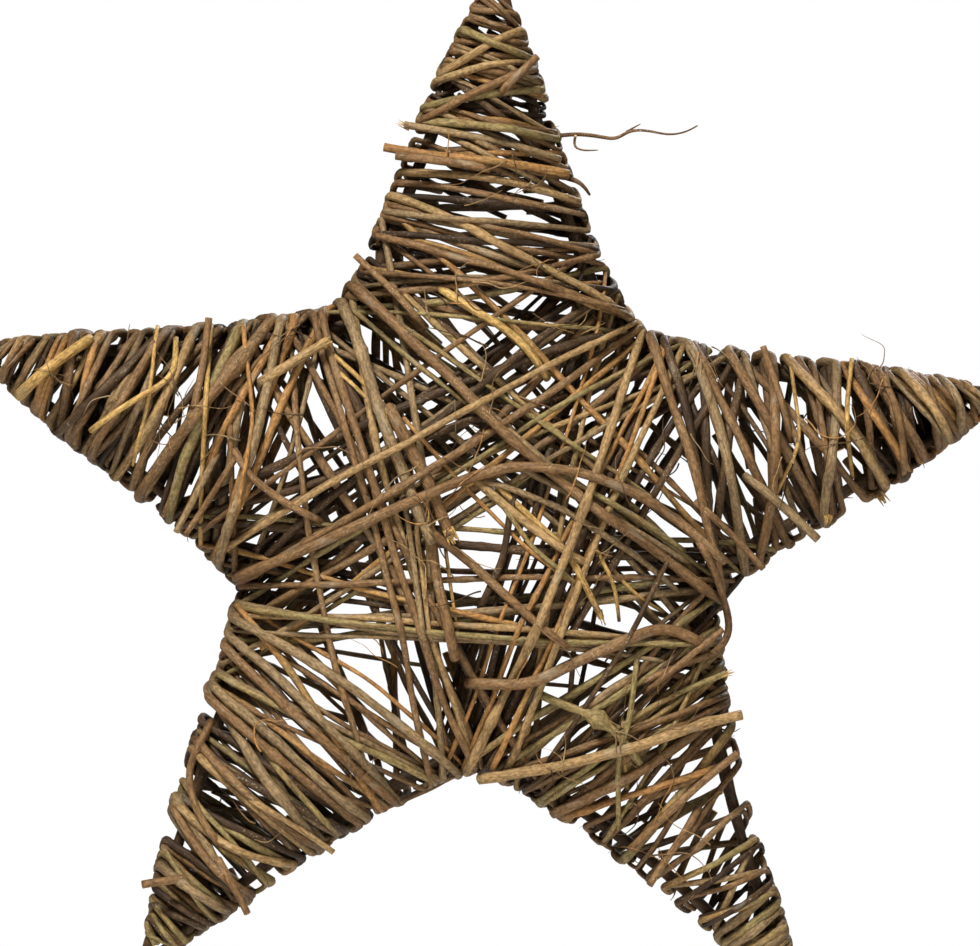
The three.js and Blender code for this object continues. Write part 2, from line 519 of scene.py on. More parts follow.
def distance_inside(points):
    """How far each point lies inside the outline of the canes, or 0 outside it."""
    corners = []
    for valley in valley_ring:
        corners.append(canes[valley, arm_after[valley]].foot)
        corners.append(polar(*tips[arm_after[valley]]))
    nearest = np.full(len(points), np.inf)
    inside = np.zeros(len(points), bool)
    for start, end in zip(corners, corners[1:] + corners[:1]):
        edge = end - start
        share = np.clip(((points - start) @ edge) / (edge @ edge), 0, 1)
        nearest = np.minimum(nearest, np.linalg.norm(points - start - share[:, None] * edge, axis=1))
        crosses = (start[1] > points[:, 1]) != (end[1] > points[:, 1])
        drop = edge[1] if edge[1] else tiny
        inside ^= crosses & (points[:, 0] < start[0] + (points[:, 1] - start[1]) * edge[0] / drop)
    return np.where(inside, nearest, 0.0)


def puffy_form():
    cells = np.indices(map_shape).reshape(2, -1).T + map_low + 0.5
    inside = distance_inside(cells)
    height = puff_depth * np.tanh(puff_rise * inside ** puff_power / puff_depth)
    return height.reshape(map_shape)


form = puffy_form()
print("height map:", map_shape, "deepest", round(float(form.max()), 1), "mm")

# %% [markdown]
# A pile knows two things about every cell: how high it is, and how many vines cross it. A vine is
# pressed a little into the ones below it. Outside the outline the count starts high, so that no
# vine is led there.

# %% Height maps
squeeze = 0.75
out_of_bounds = 30.0
probe_shares = np.linspace(0.06, 0.94, 40)
probe_aside = 4


def cells_of(flat):
    """The cell of the height map that each point lies in, or the nearest one."""
    return np.clip(np.floor(flat - map_low).astype(int), 0, np.array(map_shape) - 1)


class Pile:
    """The height map of one side of the star."""

    def __init__(self, form):
        self.top = form.copy()
        self.cover = np.where(form > 0, 0.0, out_of_bounds)

    def cells_under(self, points, radius):
        reach = math.ceil(radius)
        square = np.indices((2 * reach + 1, 2 * reach + 1)).reshape(2, -1).T - reach
        offsets = square[np.hypot(square[:, 0], square[:, 1]) < radius]
        rise = np.sqrt(radius ** 2 - (offsets ** 2).sum(axis=1)) * squeeze
        cells = cells_of(points[:, None, :] + offsets[None, :, :])
        return cells[..., 0], cells[..., 1], rise

    def rest(self, points, radius):
        across, up, rise = self.cells_under(points, radius)
        return (self.top[across, up] + rise).max(axis=1)

    def add(self, points, heights, radius):
        across, up, rise = self.cells_under(points, radius)
        np.maximum.at(self.top, (across, up), heights[:, None] + rise)
        self.cover[across, up] += 1

    def crowding(self, start, end):
        """How many vines lie, on average, under a straight line and a little beside it."""
        along = start + probe_shares[:, None] * (end - start)
        normal = np.array([start[1] - end[1], end[0] - start[0]]) / np.linalg.norm(end - start)
        total = 0.0
        for aside in (-probe_aside, 0, probe_aside):
            cells = cells_of(along + normal * aside)
            total += float(self.cover[cells[:, 0], cells[:, 1]].mean())
        return total


piles = {"front": Pile(form), "back": Pile(form)}

# %% [markdown]
# ## Laying a vine
#
# A vine crosses the front between two places on the canes, bends round the second cane, crosses the
# back to the next place, and so on. A place is a valley and a distance from it: up the arm that
# follows clockwise if the distance is positive, and up the arm before if it is negative.
#
# At a cane the vine goes a few millimetres along it before it crosses the other side, so every bend
# is a small loop. Loops that lie on each other stand out further, and near the tip they are drawn in.

# %% Bends round the canes
loop_length = (1.5, 8.0)
loop_bulge = (0.2, 1.2)
narrow_reach = 60
edge_share = 0.5
deepest_stack = 3.0
draw = random.Random(52)


def cane_at(place):
    valley, along = place
    arm = arm_after[valley] if along >= 0 else arm_before[valley]
    return canes[valley, arm], abs(along)


def bend_loop(place, radius):
    """Where a vine comes to a cane, the far point of its loop, and where it leaves on the other side."""
    cane, along = cane_at(place)
    half = draw.uniform(*loop_length) / 2
    along = min(max(along, half), cane.length - half - 1)
    first = max(0, int(along - half - radius))
    last = int(along + half + radius) + 1
    under = min(float(cane.stack[first:last].max()), deepest_stack)
    cane.stack[first:last] = under + radius * 2 * edge_share
    narrow = min(1.0, (cane.length - along) / narrow_reach)
    out = cane_radius * narrow + radius + under * narrow + cane.swell * math.exp(-along / swell_reach)
    half = half * draw.choice((-1, 1))
    bulge = out + draw.uniform(*loop_bulge)
    return cane.point(along - half, out), cane.point(along, bulge), cane.point(along + half, out)


# %% [markdown]
# Between two bends the vine sways a little, because it grew crooked. Close to a cane its height falls
# along a rounded curve. The points of a path lie closer together there than on the way across.

# %% How a stiff, crooked vine lies
settle_width = 3
settle_rounds = 3
sway_waves = (2, 3, 5, 8)
sway_fall = 1.3
sway_share = 50


def settle(need):
    """A stiff vine's heights: never below what it rests on, and never sharply bent."""
    kernel = np.exp(-0.5 * (np.arange(-settle_width * 2, settle_width * 2 + 1) / settle_width) ** 2)
    kernel /= kernel.sum()
    heights = need.copy()
    for _ in range(settle_rounds):
        padded = np.pad(heights, settle_width * 2, mode="edge")
        heights = np.maximum(need, np.convolve(padded, kernel, mode="valid"))
    return heights


def sway(shares, length, bow, crooked):
    """Sideways offsets along a stretch: one bow and a few smaller waves, all zero at its ends."""
    offsets = bow * np.sin(np.pi * shares)
    for wave in sway_waves:
        size = crooked * length / (wave ** sway_fall * sway_share) * draw.uniform(-1, 1)
        offsets = offsets + size * np.sin(np.pi * wave * shares)
    return offsets


# %% Stretches between two bends
sample_step = 2.8
bend_width = 11.0
bend_power = 2.0
bend_depth = 2.6
bend_samples = np.array([0, 0.4, 1.2, 2.5, 4.4])
first_even_sample = 7
shortest_roomy = 18


def in_space(flat, depth):
    return np.column_stack([flat[:, 0], depth, flat[:, 1]])


def stretch(side, start, end, radius, bow=0.0, crooked=1.0, first=0.0, last=1.0):
    """Lays one stretch of vine on a pile and returns its points in 3-D, in millimetres."""
    length = float(np.linalg.norm(end - start))
    count = max(4, int(length / sample_step))
    tight = min(1.0, length / shortest_roomy)
    near = bend_samples / length * tight
    ends = first_even_sample / length * tight
    shares = np.concatenate([near, np.linspace(ends, 1 - ends, count), 1 - near[::-1]])
    direction = (end - start) / length
    normal = np.array([-direction[1], direction[0]])
    flat = start + shares[:, None] * (end - start) + sway(shares, length, bow, crooked)[:, None] * normal
    keep = (shares >= first) & (shares <= last)
    shares = shares[keep]
    flat = flat[keep]
    pile = piles[side]
    heights = np.maximum(settle(pile.rest(flat, radius)), bend_depth)
    to_bend = np.minimum(shares, 1 - shares) * length
    rise = (1 - (1 - np.clip(to_bend / bend_width, 0, 1)) ** bend_power) ** (1 / bend_power)
    heights = bend_depth + (heights - bend_depth) * rise
    pile.add(flat, heights, radius)
    return in_space(flat, -heights if side == "front" else heights)


# %% [markdown]
# A vine is thickest at one end and has a knot every few centimetres, where a leaf grew. It holds its
# points, its radius at every point, and its tint.

# %% One vine
first_knots = (10, 60)
knot_gaps = (30, 90)
knot_sizes = (0.08, 0.3)
knot_width = 2.6
slow_waves = (23.0, 61.0)
slow_wave_size = 0.04


def smooth(points, rounds=2):
    points = np.asarray(points, float)
    for _ in range(rounds):
        inner = 0.25 * points[:-2] + 0.5 * points[1:-1] + 0.25 * points[2:]
        points = np.vstack([points[:1], inner, points[-1:]])
    return points


class Vine:
    """A path in millimetres with a radius at every point."""

    def __init__(self, points, diameter, tint, taper=0.22, knots=True):
        self.points = smooth(points)
        steps = np.linalg.norm(np.diff(self.points, axis=0), axis=1)
        self.along = np.concatenate([[0.0], np.cumsum(steps)])
        share = self.along / self.along[-1]
        radius = diameter / 2 * (1 + taper / 2 - taper * share)
        if knots:
            radius = radius * self.knot_swelling()
        self.radius = radius
        self.tint = tint

    def add_burl(self, x, z, swelling, width):
        """Thickens the vine where it passes a point, as round an old wound."""
        away = np.hypot(self.points[:, 0] - x, self.points[:, 2] - z)
        self.radius = self.radius * (1 + swelling * np.exp(-(away / width) ** 2))

    def knot_swelling(self):
        swelling = np.ones(len(self.along))
        place = draw.uniform(*first_knots)
        while place < self.along[-1]:
            swelling += draw.uniform(*knot_sizes) * np.exp(-((self.along - place) / knot_width) ** 2)
            place += draw.uniform(*knot_gaps)
        for wave in slow_waves:
            swelling += slow_wave_size * np.sin(self.along / wave * 2 * math.pi + draw.uniform(0, 6))
        return swelling


# %% [markdown]
# To wind a vine is to lay its stretches in turn on the front and on the back, with a loop round a
# cane between them. Its first and its last stretch may begin or end part of the way across, which
# leaves a cut end in the winding.

# %% Winding a vine
crook_range = (0.4, 1.6)
tint_play = 0.05


def other(side):
    return "back" if side == "front" else "front"


def wind(places, side, diameter, tint, first=0.0, last=1.0, bow=0.0, crooked=1.0):
    """One vine that bends round a cane at each place and crosses the front and the back in turn."""
    radius = diameter / 2
    loops = [bend_loop(place, radius) for place in places]
    path = []
    for index, (here, there) in enumerate(zip(loops, loops[1:])):
        begin = first if index == 0 else 0.0
        finish = last if index == len(loops) - 2 else 1.0
        if index > 0:
            path.append(in_space(here[1][None, :], np.zeros(1)))
        unrest = crooked * draw.uniform(*crook_range)
        path.append(stretch(side, here[2], there[0], radius, bow, unrest, begin, finish))
        side = other(side)
    return Vine(np.vstack(path), diameter, tint)


def pick_tint(weights):
    name = draw.choices(list(weights), list(weights.values()))[0]
    return TINTS[name] + draw.uniform(-tint_play, tint_play)


# %% [markdown]
# ## Filling the gaps
#
# Someone who winds a star turns it in the hand, sees the widest gap and leads the vine over it. The
# script does the same. At every bend it draws a few places that the vine could go to next, counts the
# vines that already lie in the way to each, and takes the emptiest. A few gaps of the real star
# stayed open to the end. The script counts them as fuller than they are, so most vines pass them by.

# %% Gaps that stay open
open_gaps = [
    # x, z, radius
    (87, 41, 10), (96, 20, 7), (-4, -12, 7), (-11, -26, 7), (27, -25, 5), (71, -19, 5), (67, -48, 5),
    (177, 60, 7), (-38, -92, 7), (-61, 52, 5), (-44, 72, 5), (-90, -81, 9), (-60, -68, 7), (43, -86, 5),
    (89, -90, 7), (56, -143, 5), (51, 64, 4), (49, 187, 5), (-92, -4, 5),
]
gap_shyness = 4
cell_places = np.indices(map_shape).transpose(1, 2, 0) + map_low
for x, z, radius in open_gaps:
    near_gap = np.hypot(cell_places[..., 0] - x, cell_places[..., 1] - z) < radius
    for pile in piles.values():
        pile.cover[near_gap] += gap_shyness
print("open gaps:", len(open_gaps))


# %% A vine that looks for gaps
def spot_of(place):
    cane, along = cane_at(place)
    return cane.point(along)


def emptiest(pile, place, options):
    here = spot_of(place)
    return min(options, key=lambda option: pile.crowding(here, spot_of(option)))


def wander(first_places, side, bends, next_places):
    """The places of a vine that heads for the emptiest ground at every bend."""
    place = emptiest(piles[side], first_places[0], first_places[1:])
    places = [first_places[0], place]
    for _ in range(bends):
        side = other(side)
        places.append(emptiest(piles[side], places[-1], next_places(places)))
    return places


# %% [markdown]
# ## The arms
#
# Each arm is wound twice. The inner course is thin vine with wide gaps, given dark tints as painted shade
# for the inside of the star, and the outer one is thicker and closer. A vine climbs or descends a little at
# each half turn, and turns back when it comes to the tip or to the root. No two climb at the same rate, so
# they cross everywhere.

# %% What the windings of the arms are made of
# painted shade: the inner course gets mostly dark tints, which stand for the shade inside the star
inner_shaded_tints = {"umber": 6, "brown": 3, "grey": 1}
outer_tints = {"brown": 10, "tan": 4, "grey": 5, "olive": 4, "orange": 2, "umber": 4}
inner_stretches = 32
outer_stretches = {"top": 35, "left": 43, "lower_left": 37, "lower_right": 40, "right": 31}
inner_diameters = (1.8, 4.6, 2.8)
outer_diameters = {
    "top": (1.9, 4.8, 3.2),
    "left": (1.9, 6.4, 3.6),
    "lower_left": (1.9, 6.0, 3.4),
    "lower_right": (1.9, 5.8, 3.2),
    "right": (1.9, 6.6, 3.8),
}
inner_climb = (10, 60, 26)
outer_climb = (1, 32, 8)

# %% Windings of the arms
climb_play = 7.0
climb_room = 90
arm_first = 5
arm_last_gap = 3
climb_options = 3
start_options = 6
vine_lengths = (3, 5, 5, 7, 9)
vines = {}


def arm_place(arm, hand, along):
    before, after = arm_valleys[arm]
    length = min(canes[before, arm].length, canes[after, arm].length)
    along = min(max(along, arm_first), length - arm_last_gap)
    return (before, along) if hand == 0 else (after, -along)


def arm_vine(arm, stretches, diameters, climbs, tints):
    """One vine of an arm, which starts and ends behind."""
    before, after = arm_valleys[arm]
    length = canes[before, arm].length
    climb = draw.choice((-1, 1)) * draw.triangular(*climbs)

    def go_on(places):
        nonlocal climb
        along = abs(places[-1][1])
        if not arm_first < along + climb < length - arm_last_gap:
            climb = -climb
        hand = 1 if places[-1][0] == before else 0
        room = min(1.0, (length - along) / climb_room)
        reach = [along + climb * room + draw.uniform(-climb_play, climb_play) for _ in range(climb_options)]
        return [arm_place(arm, hand, spot) for spot in reach]

    def least_crowding(place):
        return min(piles["front"].crowding(spot_of(place), spot_of(option)) for option in go_on([place]))

    def any_place():
        return arm_place(arm, draw.randint(0, 1), draw.uniform(arm_first, length))

    start = min([any_place() for _ in range(start_options)], key=least_crowding)
    places = wander([start] + go_on([start]), "back", stretches - 1, go_on)
    return wind(places, "back", draw.triangular(*diameters), pick_tint(tints),
                first=draw.uniform(0.1, 0.5), last=draw.uniform(0.5, 0.9))


# %% The inner course of every arm
def wind_arm(arm, stretches, diameters, climbs, tints):
    """One course of an arm, vine by vine, until it has its stretches."""
    course = []
    done = 0
    while done < stretches:
        count = draw.choice(vine_lengths)
        course.append(arm_vine(arm, count, diameters, climbs, tints))
        done += count
    return course


for arm in tips:
    vines[f"{arm}_inner"] = wind_arm(arm, inner_stretches, inner_diameters, inner_climb, inner_shaded_tints)
print("inner windings:", sum(len(course) for course in vines.values()), "vines")

# %% [markdown]
# ## The hidden body
#
# Under the strands that one notices, the body is filled with thinner vines that run from every valley
# to the others, in front and behind. They bend round the canes up to a third of the way along the arms.
# Two in three start behind.

# %% Under-layer of the body
body_tints = {"umber": 4, "brown": 6, "grey": 3, "olive": 3, "tan": 2, "orange": 1}
body_diameters = (1.6, 4.8, 2.6)
under_vines = 6
body_options = 7
body_start = 2
body_reach = 62
body_bow = 7
under_stretches = 5
valley_steps = (1, 2, 2, 3, 3, 4)
vines.update({f"body_{name}": [] for name in valley_ring})


def valley_after(valley, steps):
    """The valley that lies some steps further clockwise."""
    return valley_ring[(valley_ring.index(valley) + steps) % len(valley_ring)]


def loose_place(valley):
    along = draw.uniform(body_start, body_reach)
    return (valley, along if draw.random() < 0.5 else -along)


def across_body(places):
    here = places[-1][0]
    return [loose_place(valley_after(here, draw.choice(valley_steps))) for _ in range(body_options)]


def body_vine(valley, stretches, side):
    start = loose_place(valley)
    places = wander([start] + across_body([start]), side, stretches - 1, across_body)
    return wind(places, side, draw.triangular(*body_diameters), pick_tint(body_tints),
                first=draw.uniform(0.02, 0.1), last=draw.uniform(0.9, 0.98),
                bow=draw.uniform(-body_bow, body_bow))


for number in range(under_vines):
    for valley in valley_ring:
        side = "back" if number % 3 else "front"
        vines[f"body_{valley}"].append(body_vine(valley, under_stretches, side))
print("vines in the under-layer:", under_vines * len(valley_ring))

# %% [markdown]
# ## The outer course of the arms
#
# Near a tip the turns are so tight that nothing shows between them. So four vines close each tip
# first, and then the outer course is wound like the inner one, with thicker and paler vines.

# %% Tips and outer windings
tip_diameters = (2.2, 5.0, 3.4)
tip_climb = (3.0, 6.5)
tip_vines = [
    # how far down the arm it starts, its diameter, and its climb at each half turn
    (52, tip_diameters, tip_climb),
    (44, tip_diameters, tip_climb),
    (60, tip_diameters, tip_climb),
    (24, (1.8, 3.0, 2.4), (1.8, 3.2)),
]


def wind_tip(arm, reach, diameters, climbs):
    """A vine that closes the tip, with tight turns from some way down up to the very end."""
    before, after = arm_valleys[arm]
    length = canes[before, arm].length
    hand = draw.randint(0, 1)
    along = length - reach * draw.uniform(0.8, 1.1)
    places = []
    while along < length - arm_last_gap:
        places.append(arm_place(arm, hand, along))
        along += draw.uniform(*climbs)
        hand = 1 - hand
    return wind(places, "back", draw.triangular(*diameters), pick_tint(outer_tints), first=0.3, last=0.6)


for arm in tips:
    vines[arm] = [wind_tip(arm, *vine) for vine in tip_vines]
    vines[arm] += wind_arm(arm, outer_stretches[arm], outer_diameters[arm], outer_climb, outer_tints)
print("all windings of the arms:", sum(len(vines[arm]) for arm in tips), "vines")

# %% [markdown]
# ## The strands one notices
#
# Over the front of the body lie strands that give this star its face. Each is described by the two
# places where it bends round a cane, its thickness, its tint and how far it bows. They are laid from
# the lowest to the topmost. Behind, each goes on to another valley, which winds the back. Only one,
# a thick grey stick, ends on the front, in a torn end.

# %% Strands across the front of the body
front_strands = [
    # from, along, to, along, diameter, tint, bow, and where it is cut, if it doesn't go all the way
    ("upper_left", -15, "upper_right", -11, 3.0, "olive", 2),
    ("upper_left", 9, "right", -13, 3.6, "olive", -4),
    ("upper_left", 16, "right", -18, 3.4, "olive", 3),
    ("upper_left", 13, "upper_right", -54, 4.6, "brown", -4),
    ("upper_left", 64, "upper_right", -18, 6.0, "tan", 3),
    ("upper_left", 47, "upper_right", -18, 5.2, "brown", 2),
    ("upper_left", 27, "upper_right", -17, 3.2, "brown", 3),
    ("right", -27, "bottom", -35, 3.8, "umber", 5),
    ("right", 22, "bottom", -81, 3.4, "olive", 3),
    ("left", -16, "upper_right", 29, 3.8, "olive", 3),
    ("left", 8, "right", -14, 4.2, "brown", 3),
    ("left", -13, "right", 30, 4.2, "grey", -8),
    ("left", -16, "right", 37, 3.8, "olive", -4),
    ("upper_left", 22, "right", 14, 5.0, "grey", -5),
    ("bottom", 11, "upper_right", 19, 3.8, "orange", 4),
    ("bottom", -13, "upper_right", 20, 4.0, "orange", -3),
    ("upper_left", -19, "bottom", 31, 4.8, "brown", 4),
    ("upper_left", -15, "bottom", 8, 5.6, "brown", -4),
    ("bottom", -22, "upper_right", 26, 5.0, "tan", 3),
    ("left", -19, "bottom", 55, 5.0, "orange", 3),
    ("left", -28, "bottom", 45, 6.0, "grey", 4),
    ("left", -19, "bottom", 16, 6.4, "grey", 6),
    ("bottom", -50, "right", 60, 5.2, "brown", 5),
    ("upper_left", -8, "bottom", -42, 8.4, "grey", -3, 0.47),
    ("left", 14, "upper_right", -6, 5.4, "brown", -4),
    ("upper_left", 14, "right", 15, 7.0, "brown", -6),
    ("left", 24, "upper_right", -12, 4.8, "tan", 3),
    ("bottom", 8, "upper_right", -10, 6.4, "tan", -5),
]


# %% Laying the lower ones
dried = 0.72
topmost_strands = 9
strand_crook = 0.8
strand_tint_play = 0.03


def lay_front_strand(start, along, end, end_along, diameter, tint, bow, cut_at=None):
    """A strand across the front, with a short tail behind wherever it bends round a cane."""
    places = [(start, along), (end, end_along)]
    tail_turn = draw.choice((2, 3))
    last = cut_at
    if last is None:
        places.append(loose_place(valley_after(end, tail_turn)))
        last = draw.uniform(0.1, 0.3)
    places.insert(0, loose_place(valley_after(start, tail_turn)))
    first = draw.uniform(0.7, 0.9)
    tint_here = TINTS[tint] + draw.uniform(-strand_tint_play, strand_tint_play)
    vine = wind(places, "back", diameter * dried, tint_here, first, last, bow, strand_crook)
    vines[f"body_{start}"].append(vine)


for strand in front_strands[:-topmost_strands]:
    lay_front_strand(*strand)
print("vines of the body so far:", sum(len(vines[f"body_{valley}"]) for valley in valley_ring))

# %% [markdown]
# ## Strips that run their own way
#
# Some strands don't go from cane to cane: strips of split, straw-coloured vine and broken twigs that
# come up between the others and go down again. They are given by points in millimetres from the middle
# of the star, and each leads on smoothly from point to point. A strip may have one end cut off, which
# then lies free on top; any other end dives under the vines beside it.

# %% Laying a strip
free_length = 25
free_slope = 0.3
dive_depth = 5
dive_width = 3
strip_taper = 0.1
corner_rounds = 8


def along_points(points, step=sample_step):
    """Evenly spaced points on a smooth line through a few given ones."""
    points = np.array(points, float)
    reach = np.concatenate([[0], np.cumsum(np.linalg.norm(np.diff(points, axis=0), axis=1))])
    places = np.linspace(0, reach[-1], max(5, int(reach[-1] / step)))
    line = np.column_stack([np.interp(places, reach, points[:, axis]) for axis in range(points.shape[1])])
    return smooth(line, corner_rounds)


def lay_strip(diameter, tint, cut_end, points):
    """A strip whose ends dive under the others, but for a cut one at its first or its last point."""
    flat = along_points(points)
    pile = piles["front"]
    heights = settle(pile.rest(flat, diameter / 2))
    from_start = np.arange(len(flat)) * sample_step
    from_end = from_start[::-1]
    if cut_end != "none":
        near = from_start if cut_end == "first" else from_end
        last_rest = heights[np.argmin(np.abs(near - free_length))]
        straight_on = last_rest - free_slope * (free_length - near)
        heights = np.where(near < free_length, np.maximum(heights, straight_on), heights)
        heights = settle(heights)
    from_dive = {"none": np.minimum(from_start, from_end), "first": from_end, "last": from_start}[cut_end]
    heights = heights - dive_depth * np.exp(-from_dive / dive_width)
    pile.add(flat, heights, diameter / 2)
    return Vine(in_space(flat, -heights), diameter, TINTS[tint], taper=strip_taper, knots=False)


def lay_strips(strips):
    for group, diameter, tint, cut_end, points in strips:
        vines[group].append(lay_strip(diameter, tint, cut_end, points))


# %% [markdown]
# The first strips lie under the topmost strands of the body: straw-coloured splits, the twigs that
# hang into the hole in the middle, and a bundle of thin vines to the right of it. The topmost
# strands are laid over them.

# %% Strips under the topmost strands
under_strips = [
    # arm or bundle, diameter, tint, cut end, points
    ("body_upper_left", 4.0, "straw", "none", [(-21, 114), (-8, 105), (10, 95), (23, 83), (31, 70)]),
    ("body_upper_left", 2.4, "straw", "none", [(-76, 84), (-60, 70), (-46, 54)]),
    ("body_upper_left", 2.0, "straw", "none", [(-74, 76), (-60, 64), (-50, 52)]),
    ("body_upper_left", 3.4, "straw", "none", [(2, 22), (20, 5), (41, -14), (57, -46)]),
    ("body_upper_left", 2.2, "orange", "none", [(-40, 52), (-14, 22), (20, -12), (44, -30)]),
    ("body_right", 2.0, "straw", "none", [(54, -12), (64, -30), (66, -48)]),
    ("body_right", 1.8, "straw", "none", [(62, -22), (74, -36), (88, -44)]),
    ("lower_right", 2.2, "straw", "none", [(67, -95), (68, -112), (70, -130)]),
    ("body_upper_left", 3.6, "umber", "none", [(15, 16), (12, 1), (10, -17), (4, -29), (-2, -42)]),
    ("body_upper_left", 3.0, "grey", "none", [(-39, 14), (-37, 2), (-34, -20), (-31, -42), (-29, -57)]),
    ("body_upper_left", 5.2, "brown", "first", [(-27, 3), (-25, -12), (-23, -27), (-18, -47), (-14, -66)]),
    ("body_upper_left", 1.8, "straw", "none", [(-19, -10), (-17, -26), (-15, -38), (-13, -53)]),
    ("body_upper_left", 4.4, "brown", "none", [(-30, 0), (-24, -6), (-7, -19), (7, -32), (27, -50),
                                               (40, -60)]),
    ("body_upper_left", 4.4, "tan", "none", [(-6, 22), (6, 12), (20, 0), (34, -10), (50, -20)]),
    ("body_upper_left", 2.6, "olive", "none", [(8, 10), (14, 2), (24, -14), (34, -20), (46, -31)]),
    ("body_upper_left", 6.2, "brown", "last", [(-46, 56), (-38, 40), (-28, 22), (-16, -7)]),
    ("body_upper_left", 2.6, "tan", "none", [(-2, 23), (-23, 16), (-32, 8), (-33, -5), (-30, -23),
                                             (-26, -58)]),
    ("body_right", 3.2, "grey", "none", [(-2, 20), (7, 19), (38, 7), (60, -7), (77, -18), (95, -34)]),
    ("body_right", 3.0, "olive", "none", [(28, 28), (50, 16), (77, 1), (98, -14)]),
    ("body_right", 3.4, "grey", "none", [(10, 30), (21, 25), (50, 10), (77, -6), (100, -20)]),
]

lay_strips(under_strips)
for strand in front_strands[-topmost_strands:]:
    lay_front_strand(*strand)
print("strips under the topmost strands:", len(under_strips))

# %% [markdown]
# ## Crossings of the arms
#
# The outermost vines of an arm are few and easy to tell apart. Each is given by the two points where
# it meets the arm's canes. The script finds the nearest places on the canes, and lets the vine go on
# a little way behind at both ends.

# %% The outermost vines of the arms
arm_crossings = [
    # arm, start (x, z), end (x, z), diameter, tint, bow
    ("left", (-198, 94), (-206, 50), 5.0, "brown", 1),
    ("left", (-155, 98), (-203, 48), 4.6, "umber", 1),
    ("left", (-152, 95), (-188, 36), 4.6, "brown", 0),
    ("left", (-138, 96), (-178, 28), 5.0, "tan", 4),
    ("left", (-118, 97), (-151, 7), 5.0, "olive", -2),
    ("left", (-98, 99), (-123, -15), 4.6, "grey", 3),
    ("left", (-107, 97), (-165, 18), 5.8, "brown", 0),
    ("right", (179, 80), (205, 33), 4.0, "orange", 0),
    ("right", (197, 73), (199, 29), 3.6, "brown", 3),
    ("right", (203, 78), (228, 47), 4.6, "tan", 1),
    ("right", (224, 76), (233, 50), 4.4, "grey", 3),
    ("right", (170, 82), (169, 2), 4.8, "grey", 0),
    ("right", (148, 76), (196, 13), 4.8, "tan", 2),
    ("right", (104, 89), (146, -3), 4.6, "brown", 0),
    ("right", (138, 82), (139, -24), 5.0, "brown", 4),
    ("right", (90, 90), (107, -27), 4.2, "umber", 2),
    ("right", (84, 90), (114, -24), 4.6, "brown", 2),
    ("right", (97, 92), (128, -18), 5.0, "grey", 4),
    ("top", (-33, 160), (43, 150), 3.2, "brown", 1),
    ("top", (-42, 154), (48, 146), 3.2, "grey", -1),
    ("top", (-39, 169), (44, 160), 3.8, "tan", 3),
    ("top", (-21, 196), (34, 190), 4.0, "olive", 1),
    ("top", (-16, 198), (30, 217), 4.0, "olive", 1),
    ("top", (27, 227), (-30, 198), 4.0, "brown", -1),
    ("top", (-21, 214), (21, 226), 3.6, "tan", 2),
    ("top", (-22, 223), (20, 239), 4.0, "tan", 1),
    ("top", (-15, 241), (23, 229), 4.0, "olive", -1),
    ("lower_left", (-161, -170), (-130, -191), 4.6, "grey", 0),
    ("lower_left", (-152, -142), (-117, -184), 4.2, "brown", -4),
    ("lower_left", (-148, -140), (-96, -170), 4.2, "tan", -6),
    ("lower_left", (-146, -114), (-84, -162), 4.2, "tan", 0),
    ("lower_left", (-148, -107), (-78, -158), 4.2, "brown", -2),
    ("lower_left", (-139, -83), (-64, -149), 4.8, "brown", 0),
    ("lower_left", (-136, -76), (-58, -148), 4.6, "grey", 0),
    ("lower_left", (-125, -60), (-43, -135), 4.6, "brown", 0),
    ("lower_right", (12, -122), (112, -90), 3.6, "brown", 0),
    ("lower_right", (42, -144), (124, -112), 3.4, "orange", 0),
]

# %% Laying the crossings
crossing_crook = 0.7
crossing_play = 8


def place_near(arm, spot):
    """The place on the two canes of an arm that lies nearest to a spot."""
    options = []
    for hand, valley in enumerate(arm_valleys[arm]):
        cane = canes[valley, arm]
        from_foot = np.array(spot) - cane.foot
        options.append((abs(from_foot @ cane.outward), arm_place(arm, hand, from_foot @ cane.direction)))
    return min(options)[1]


def shifted(place, aside):
    valley, along = place
    return valley, math.copysign(max(abs(along) + aside, 1), along)


for arm, start, end, diameter, tint, bow in arm_crossings:
    first_place = place_near(arm, start)
    last_place = place_near(arm, end)
    aside = draw.uniform(-crossing_play, crossing_play)
    places = [shifted(last_place, aside), first_place, last_place, shifted(first_place, aside)]
    vine = wind(places, "back", diameter, TINTS[tint], first=0.75, last=0.3, bow=bow, crooked=crossing_crook)
    vines[arm].append(vine)
print("crossings:", len(arm_crossings))

# %% [markdown]
# Over all of these lie the last strips: the arc across the body, the hook at its right, a broken
# stick near the bottom, and splits on the arms. Some vines thicken where they grew round an old wound,
# which is done afterwards to the vine that passes nearest to each of a few points.

